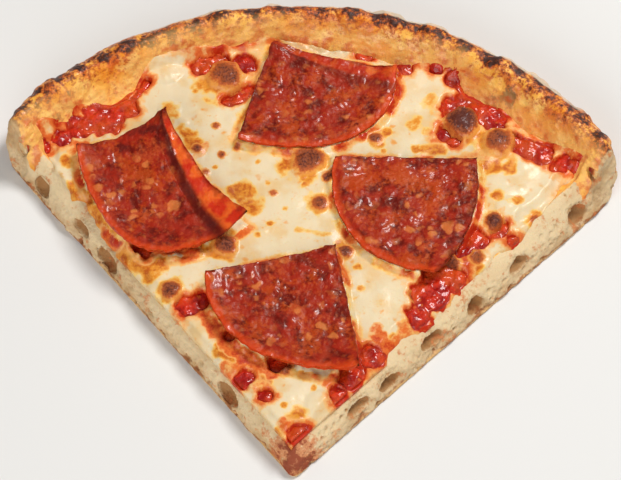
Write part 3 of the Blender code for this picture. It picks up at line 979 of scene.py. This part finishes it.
slope = np.clip(1.25 * window + 0.12 * unevenness(plan, 2.2, 7) * fade(window, 0, 0.2), 0, 1)
slope *= fade_mm(domes, 1.2, 0.4)
sunk = np.maximum(SAUCE_TOP, bread_top) - 1.0 * MM
height = height * (1 - slope) + sunk * slope
room = room_below_salami(plan)
away, level = reach_of_salami(np.column_stack((plan, height)))
fill = np.clip(level - 0.9 * MM - height, 0, 2.6 * MM) * (level > 0)
height += fill * fade_mm(away + 0.8 * MM * unevenness(plan, 4, 9.4, 2), 2, 0)
points[:, 2] = np.minimum(height, room - SALAMI_CLEARANCE - SALAMI_SINKS)
set_points(cheese, points)
paint(cheese, "beside", fade_mm(away, 4.6, 0.4) * (room == NO_SALAMI))
paint(cheese, "brown", browned)
close_below(cheese, floor=PLATEAU - 2.6 * MM)
print("mozzarella has", len(cheese.data.vertices), "points")

# %% [markdown]
# Where it browns is painted: dark tops on the blisters, golden halos round them, orange stains of
# oil and sauce along the windows and beside the salami.

# %% Paint the mozzarella
GOLD = [
    (-31, 56, 8), (-1, 24, 7.5), (-7, 24, 5), (0, 19, 4), (60, 30, 8), (59, 23, 4.5), (50, 37, 8),
    (59, 1, 4.2), (-44, -24, 4.8), (-27, -8, 5.5), (3, 8, 4.5), (11, -10, 4.5), (-4, -71, 4.5),
    (-6, -82, 7), (-46, 44, 4, 0.8), (-41, 36, 3), (-38, 32, 4), (-22, 13, 5), (-19, 7, 4),
    (34, 39, 3, 0.8), (38, 36, 2, 0.7), (39, 47, 3.5, 0.7), (25, 36, 2), (21, 33, 4), (66, 9, 2.6),
    (60, 11, 2.4), (26, -43, 3), (30, -39, 3), (20, -54, 3), (-26, -46, 3.4), (-25, -50, 3),
    (-49, -16, 4), (72, 3, 3.2), (-79, 24, 2.8), (64, 22, 3), (-5, -83, 6), (2, -79, 4), (-11, -77, 4),
]
GOLD_LINES = [
    (-38, -10, -28, -11, 3), (35, 29, 42, 29, 2.6), (-76, 14, -69, 1, 3.8), (-69, 1, -59, -12, 3.8),
    (-58, -13, -50, -19, 2.4), (-28, -46, -14, -58, 2.4), (-70, 16, -72, 8, 1.6), (6, -74, 9, -72, 2),
    (20, 22, 4, 18, 1.6, 0.6), (-4, -2, 6, -4, 1.2, 0.6), (53, -14, 46, -26, 2.4),
    (-36, -26, -30, -38, 2.2), (44, 8, 52, 12, 1.2, 0.6),
]
RED_LINES = [
    (-54, -9, -37, -10, 2.6, 0.9), (-34, -33, -25, -46, 2.8, 0.9), (-25, -46, -12, -55, 2.6, 0.9),
    (-27, -52, -13, -62, 2.6, 0.7), (50, -7, 50, -22, 3.4, 0.9), (22, -42, 27, -50, 4, 0.9),
    (31, -36, 26, -44, 3, 0.7), (58, 1, 68, -6, 2.4, 0.6), (-84, 34, -74, 30, 2.2, 0.8),
    (-40, 22, -34, 30, 1.6, 0.6), (-14, 60, -18, 50, 1.8, 0.7), (6, -58, 14, -66, 2.6, 0.7),
    (-8, -72, 4, -80, 3, 0.8), (50, 26, 62, 27, 2.4, 0.5),
]
SPECKS = [
    (-31, 38, 1.4), (-24, 29.5, 1.5), (-29, 27, 1.5), (-31, 22, 1.1), (-12, 27, 1.2), (-17, 24, 1.2),
    (-13, 0, 1.3), (-17, -4, 1.2), (-2, 15, 1.3), (15, -16, 1.5), (16, -24, 1.5), (-8, -66, 1.3),
    (1, -60, 1.2), (0, -57, 1), (44, 48, 1.2), (-38, 52, 1.2), (-14, 16, 1.2), (-8, 6, 1.1),
    (24, 28, 1.2), (-48, -2, 1.3), (-60, 16, 1),
]


def paint_cheese(cheese):
    points = points_of(cheese)
    plan = points[:, :2]
    stained = np.maximum(spots(plan, [(x, y, r + 2.8) for x, y, r in WINDOW_SPOTS], 0.35, 5, 1),
                         streaks(plan, [(*line[:4], line[4] + 2.4) for line in WINDOW_LINES], 0.4, 5, 2))
    stained = np.maximum(0.7 * stained, 1.1 * fade(window_mask(plan), 0.0, 0.35))
    stained = np.maximum(stained, 0.85 * streaks(plan, RED_LINES, 0.7, 4, 6))
    beside = values_of(cheese, "beside") * fade(unevenness(plan, 9, 14, 2), -0.8, 0.3)
    edge = fade_mm(beyond_toppings(points), -2.5, 0) * fade(unevenness(plan, 8, 15, 2), -0.6, 0.3)
    gold = np.maximum(spots(plan, GOLD, 0.5, 4, 3), streaks(plan, GOLD_LINES, 0.6, 4, 4))
    redder = beside * fade(unevenness(plan, 12, 16), -0.5, 0.3)
    paint(cheese, "stain", np.clip(np.maximum(stained, 1.1 * redder) + 0.45 * edge, 0, 1.2))
    gold = np.maximum(gold, 0.9 * spots(plan, SPECKS, 0.4, 2, 5))
    paint(cheese, "gold", np.maximum(gold, 1.1 * beside))
    paint(cheese, "lip", fade_mm(beyond_cheese(plan), -2.5, 0))


paint_cheese(cheese)


# %% Mozzarella material
def melted_cheese():
    finish = Finish("melted_cheese", Subsurface_Weight=0.25, Subsurface_Scale=1.0 * MM,
                    Subsurface_Radius=(1.0, 0.7, 0.4), Specular_IOR_Level=0.2, Coat_Weight=0.08,
                    Coat_Roughness=0.12)
    broad = finish.noise(11)
    patchy = finish.noise(3.2, 4, 0.55, seed=3)
    fine = finish.noise(0.8, 3, 0.6, seed=5)
    edge = finish.mix((230, 202, 156), ((222, 178, 118), patchy.step(0.45, 0.65)))
    rough = (patchy - 0.5) * 1.5 + (fine - 0.5) * 0.6
    gold = finish.painted("gold")
    oily = gold * 0.85 + rough * (0.35 + gold * 0.65)
    dots = finish.flecks(3.4, 0.30, 3.4, seed=31) * broad.step(0.44, 0.56)
    stain = finish.painted("stain")
    red = stain + rough * (0.25 + stain * 0.75)
    heat = finish.painted("brown") + (patchy - 0.5) * 0.5 + (fine - 0.5) * 0.5
    browned = heat.step(0.5, 0.85)
    colour = finish.mix(
        (230, 210, 172),
        ((226, 192, 138), broad.step(0.44, 0.66)),
        (edge, (finish.painted("lip") + patchy - 0.5).step(0.1, 0.9)),
        ((240, 196, 104), oily.step(0.06, 0.42) * 0.85),
        ((226, 140, 34), oily.step(0.32, 0.72) * 0.9),
        ((186, 80, 18), oily.step(0.66, 1.05) * 0.9),
        ((230, 148, 48), dots * 0.8),
        ((238, 178, 104), red.step(0.12, 0.40) * 0.8),
        ((220, 100, 34), red.step(0.35, 0.68) * 0.9),
        ((184, 36, 12), red.step(0.65, 0.98) * 0.95),
        ((230, 156, 74), heat.step(0.05, 0.30) * 0.85),
        ((192, 94, 42), heat.step(0.25, 0.58)),
        ((150, 74, 38), browned),
        ((92, 38, 26), (heat + (fine - 0.5) * 1.2).step(0.75, 1.15)),
    )
    finish.set("Base Color", colour)
    finish.set("Roughness", 0.24 + browned * 0.18 + fine * 0.1)
    finish.bump((patchy, 0.2), (fine * (0.05 + browned), 0.4))
    return finish.material


hand_in(cheese, "melted_mozzarella", melted_cheese())

# %% [markdown]
# ## The pepperoni
#
# Four quarters of a large salami, laid on before baking. In the oven their edges curl up and their fat
# renders out. Each starts as a square grid whose one side is drawn together into the corner, so the grid
# fans out to the round edge. Solidify gives the slice its thickness and Bevel softens the cut edges. The
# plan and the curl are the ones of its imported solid.

# %% The quarters
PEPPERONI_THICKNESS = 1.7 * MM
ROUND_FULLNESS = 0.85
QUARTERS = {
    "pepperoni_left": dict(
        corner=(-47, 38), tips=((-76, 27.5), (-20, -0.5)), side_bulges=(-1.3, -2.6), round_bulge=24,
        skew=0.6, corner_lift=8.5, side_lifts=(1.8, 5.5), round_lift=3,
    ),
    "pepperoni_back": dict(
        corner=(-12, 69), tips=((-23.5, 31.5), (28.5, 60)), side_bulges=(0.8, -1.5), round_bulge=17,
        skew=0.5, corner_lift=3.2, side_lifts=(1.5, 1.5), round_lift=1.4,
    ),
    "pepperoni_right": dict(
        corner=(53.5, 23), tips=((8, 24), (40, -19.5)), side_bulges=(0.4, 5.2), round_bulge=13.2,
        skew=0.1, corner_lift=2.2, side_lifts=(2, 2), round_lift=1.4,
    ),
    "pepperoni_front": dict(
        corner=(7.6, -11), tips=((-33.5, -21), (15.5, -55)), side_bulges=(0.6, 0.6), round_bulge=13.5,
        skew=-0.35, corner_lift=3, side_lifts=(2.8, 2.4), round_lift=3,
    ),
}
# The curled side gets two painted marks: a bright orange band for the light that falls on it and shines
# through it, partly the red of sauce on the back piece's roll, and a painted crease shade at its foot.
CURL_LIGHT_AND_SHADE = {"pepperoni_left": 1.0, "pepperoni_back": 0.5}        # how strongly one side's curl is coloured
GRID = 120
EDGE_WANDER = 0.35 * MM
FAN_ANGLE = 1.5
SIDE_SPREAD = 1.4
FLANGE_WIDTH = 5.5 * MM
RIM_CURL = 4.0 * MM


def outward_normal(first, last, inside):
    """Unit normal of the line from first to last, away from a point inside."""
    normal = np.array((last[1] - first[1], first[0] - last[0]))
    normal /= np.linalg.norm(normal)
    return -normal if normal @ (inside - first) > 0 else normal


def fan_out(across, out, corner, tips, side_bulges, round_bulge, skew, corner_lift, side_lifts,
            round_lift):
    """Plan and curl of a quarter: across runs from side to side, out from corner to round edge."""
    corner = np.array(corner) * MM
    first, last = np.array(tips) * MM
    fullness = (4 * across * (1 - across)) ** ROUND_FULLNESS * (1 + skew * (across - 0.5))
    round_edge = first + across[:, None] * (last - first)
    round_edge += outward_normal(first, last, corner) * (fullness * round_bulge * MM)[:, None]
    plan = corner + out[:, None] * (round_edge - corner)
    normals = outward_normal(corner, first, last), outward_normal(corner, last, first)
    for normal, bulge, nearness in zip(normals, side_bulges, (1 - across, across)):
        plan += normal * (bulge * MM * 4 * out * (1 - out) * nearness**3)[:, None]
    reach = np.linalg.norm(plan - corner, axis=1)
    lift = round_lift * (0.5 * out**4 + 0.5 * np.exp(-((1 - out) * reach / RIM_CURL) ** 2))
    lift += corner_lift * (1 - out) ** 2
    for side_lift, away in zip(side_lifts, (across, 1 - across)):
        flange = np.clip(1 - away * reach * FAN_ANGLE / FLANGE_WIDTH, 0, 1)
        lift += side_lift * np.sqrt(out) * (0.35 * (1 - away) ** 3 + 0.65 * flange)
    return plan, lift * MM


def make_quarter(node, name):
    bpy.ops.object.select_all(action="DESELECT")
    bpy.ops.mesh.primitive_grid_add(x_subdivisions=GRID, y_subdivisions=GRID, size=1)
    piece = bpy.context.object
    piece.name = piece.data.name = name
    square = points_of(piece)
    across = np.clip(square[:, 0] + 0.5, 0, 1)
    out = np.clip(square[:, 1] + 0.5, 0, 1)
    plan, lift = fan_out(across, out, **QUARTERS[node])
    support = np.maximum(cheese_level(plan) + GAP, bread_height(plan) + 2 * GAP) - SALAMI_SINKS
    seed = len(name)
    plan[:, 0] += EDGE_WANDER * unevenness(plan, 6, seed + 5, 2)
    plan[:, 1] += EDGE_WANDER * unevenness(plan, 6, seed + 7, 2)
    set_points(piece, np.column_stack((plan, support + lift)))
    reach = np.linalg.norm(plan - np.array(QUARTERS[node]["corner"]) * MM, axis=1) / np.maximum(out, 0.02)
    paint(piece, "from_round", (1 - out) * reach)
    paint(piece, "from_left", across * out * reach * SIDE_SPREAD)
    curled = (1 - across) * out * reach * SIDE_SPREAD
    paint(piece, "from_right", curled)
    strength = CURL_LIGHT_AND_SHADE.get(node, 0)
    width = (1.2 + 2.2 * out) * MM
    # Painted light: the curled-up side is coloured bright orange, as if lit and shone through; on the back
    # piece, at half strength, it is partly the red of sauce along the roll.
    paint(piece, "curled", strength * fade(curled, 1.2 * width, 0.8 * width) * fade(out, 0.02, 0.12))
    # Painted shade: a dark band along the foot of the curled-up side, where the raised edge shades the
    # salami beside it.
    crease_shade = fade(curled, 0.8 * width, 1.3 * width) * fade(curled, 2.4 * width, 1.5 * width)
    paint(piece, "crease_shade", strength * crease_shade)
    with edit_mode():
        bpy.ops.mesh.remove_doubles(threshold=0.04 * MM)
        bpy.ops.mesh.normals_make_consistent(inside=False)
    if points_of(piece, "normal")[:, 2].mean() < 0:
        with edit_mode():
            bpy.ops.mesh.flip_normals()
    from_edges = [values_of(piece, name) for name in ("from_round", "from_left", "from_right")]
    weigh(piece, "thick", fade_mm(np.minimum.reduce(from_edges), 0, 3.5))
    finish_modifier(piece, "SOLIDIFY", thickness=PEPPERONI_THICKNESS, offset=1, use_even_offset=False,
                    vertex_group="thick", thickness_vertex_group=0.55)
    finish_modifier(piece, "BEVEL", width=0.35 * MM, segments=3, limit_method="ANGLE",
                    angle_limit=math.radians(60))
    points = points_of(piece)
    bumps = 0.45 * MM * unevenness(points, 9, seed, 2)
    bumps += 0.30 * MM * unevenness(points, 3.2, seed + 2, 3)
    bumps += 0.12 * MM * unevenness(points, 1.3, seed + 3, 2)
    set_points(piece, points + points_of(piece, "normal") * bumps[:, None])
    return piece


# %% Pepperoni material
def pepperoni():
    finish = Finish("pepperoni", Subsurface_Weight=0.2, Subsurface_Scale=1.0 * MM,
                    Subsurface_Radius=(1.0, 0.25, 0.06), Specular_IOR_Level=0.25, Coat_Roughness=0.2,
                    Specular_Tint=(1.0, 0.75, 0.5, 1.0), Coat_Tint=(1.0, 0.85, 0.68, 1.0))
    broad = finish.noise(9, seed=1)
    meat = finish.noise(4.2, seed=2)
    fine = finish.noise(1.2, 3, 0.6, seed=4)
    zone = finish.noise(15, 2, 0.4, seed=27).step(0.42, 0.58)
    # Paler patches: in part a painted sheen on the meat, in part lighter meat.
    pale = (finish.noise(7, 4, 0.6, seed=9) + (fine - 0.5) * 0.4).step(0.50, 0.66)
    fat = finish.flecks(4, 0.46, 4.6, seed=6) * (0.3 + zone * 0.7)
    rim = (finish.painted("from_round") * 1000 + (meat - 0.5) * 4.0).step(2.4, 0.6)
    streaky = finish.noise(5, 2, 0.5, seed=12).step(0.42, 0.62)
    side = finish.painted("from_left").least(finish.painted("from_right"))
    colour = finish.mix(
        (102, 10, 6),
        ((158, 32, 14), meat.step(0.34, 0.60)),
        ((192, 72, 14), (broad + (fine - 0.5) * 0.5).step(0.50, 0.66) * 0.6),
        # paler patches, partly a painted sheen
        ((188, 76, 34), pale * (0.2 + zone * 0.5)),
        ((218, 124, 62), fat * 0.7),
        ((200, 92, 46), finish.flecks(1.7, 0.36, 2.2, seed=8) * 0.3),
        ((208, 64, 14), rim * 0.8),
        # painted shade along the crease at the foot of the curl
        ((84, 8, 6), finish.painted("crease_shade") * 0.9),
        # painted light on the curled-up side, a streaky bright orange
        (finish.mix((198, 42, 16), ((228, 98, 32), streaky)), finish.painted("curled")),
        ((110, 24, 10), (side * 1000 + (meat - 0.5) * 2.4).step(0.7, 0.0) * 0.5),
    )
    finish.set("Base Color", colour)
    finish.set("Roughness", 0.28 + meat * 0.2 + fine * 0.2)
    finish.set("Coat Weight", 0.05 + finish.noise(7, 3, 0.6, seed=15).step(0.50, 0.62) * 0.5)
    finish.bump((meat, 0.8), (fat, 0.12), (finish.noise(2, 4, 0.6, seed=23), 0.4))
    return finish.material


salami = pepperoni()
for node in QUARTERS:
    hand_in(make_quarter(node, node.replace("pepperoni", "salami")), node, salami)

# %% [markdown]
# ## Light, floor and camera
#
# Food looks fresh when the main light comes from above and behind: wet surfaces shine towards the viewer
# and every bump throws a short shadow forwards. A wide, weaker light in front keeps the cut faces
# readable. The floor is plain and pale.

# %% Floor
bpy.ops.object.select_all(action="DESELECT")
bpy.ops.mesh.primitive_plane_add(size=4)
floor = bpy.context.object
floor.name = "floor"
paper = Finish("paper", Roughness=0.8)
paper.shader.inputs["Base Color"].default_value = screen_colour(226, 224, 220)
floor.data.materials.append(paper.material)


# %% Lights
def softbox(name, place, size, watts):
    bpy.ops.object.light_add(type="AREA", location=place)
    lamp = bpy.context.object
    lamp.name = name
    lamp.data.shape = "DISK"
    lamp.data.size = size
    lamp.data.energy = watts
    lamp.rotation_euler = (-Vector(place)).to_track_quat("-Z", "Y").to_euler()


softbox("back light", (0.45, 0.42, 1.0), size=0.4, watts=11.0)
softbox("front light", (-0.35, -0.9, 0.55), size=0.9, watts=7.5)
world = bpy.data.worlds.new("studio")
world.use_nodes = True
world.node_tree.nodes["Background"].inputs["Color"].default_value = (1, 1, 1, 1)
world.node_tree.nodes["Background"].inputs["Strength"].default_value = 0.22
bpy.context.scene.world = world
bpy.context.scene.view_settings.view_transform = "Standard"

# %% Camera
CAMERA_AIM = Vector((0, -1.75, 6)) * MM
CAMERA_ELEVATION = math.radians(58)
CAMERA_DISTANCE = 1.0
away = Vector((0, -math.cos(CAMERA_ELEVATION), math.sin(CAMERA_ELEVATION))) * CAMERA_DISTANCE
bpy.ops.object.camera_add(location=CAMERA_AIM + away, rotation=(math.pi / 2 - CAMERA_ELEVATION, 0, 0))
camera = bpy.context.object
camera.data.lens = 180
camera.data.sensor_width = 36
bpy.context.scene.camera = camera
print("camera at", [round(c, 3) for c in camera.location])
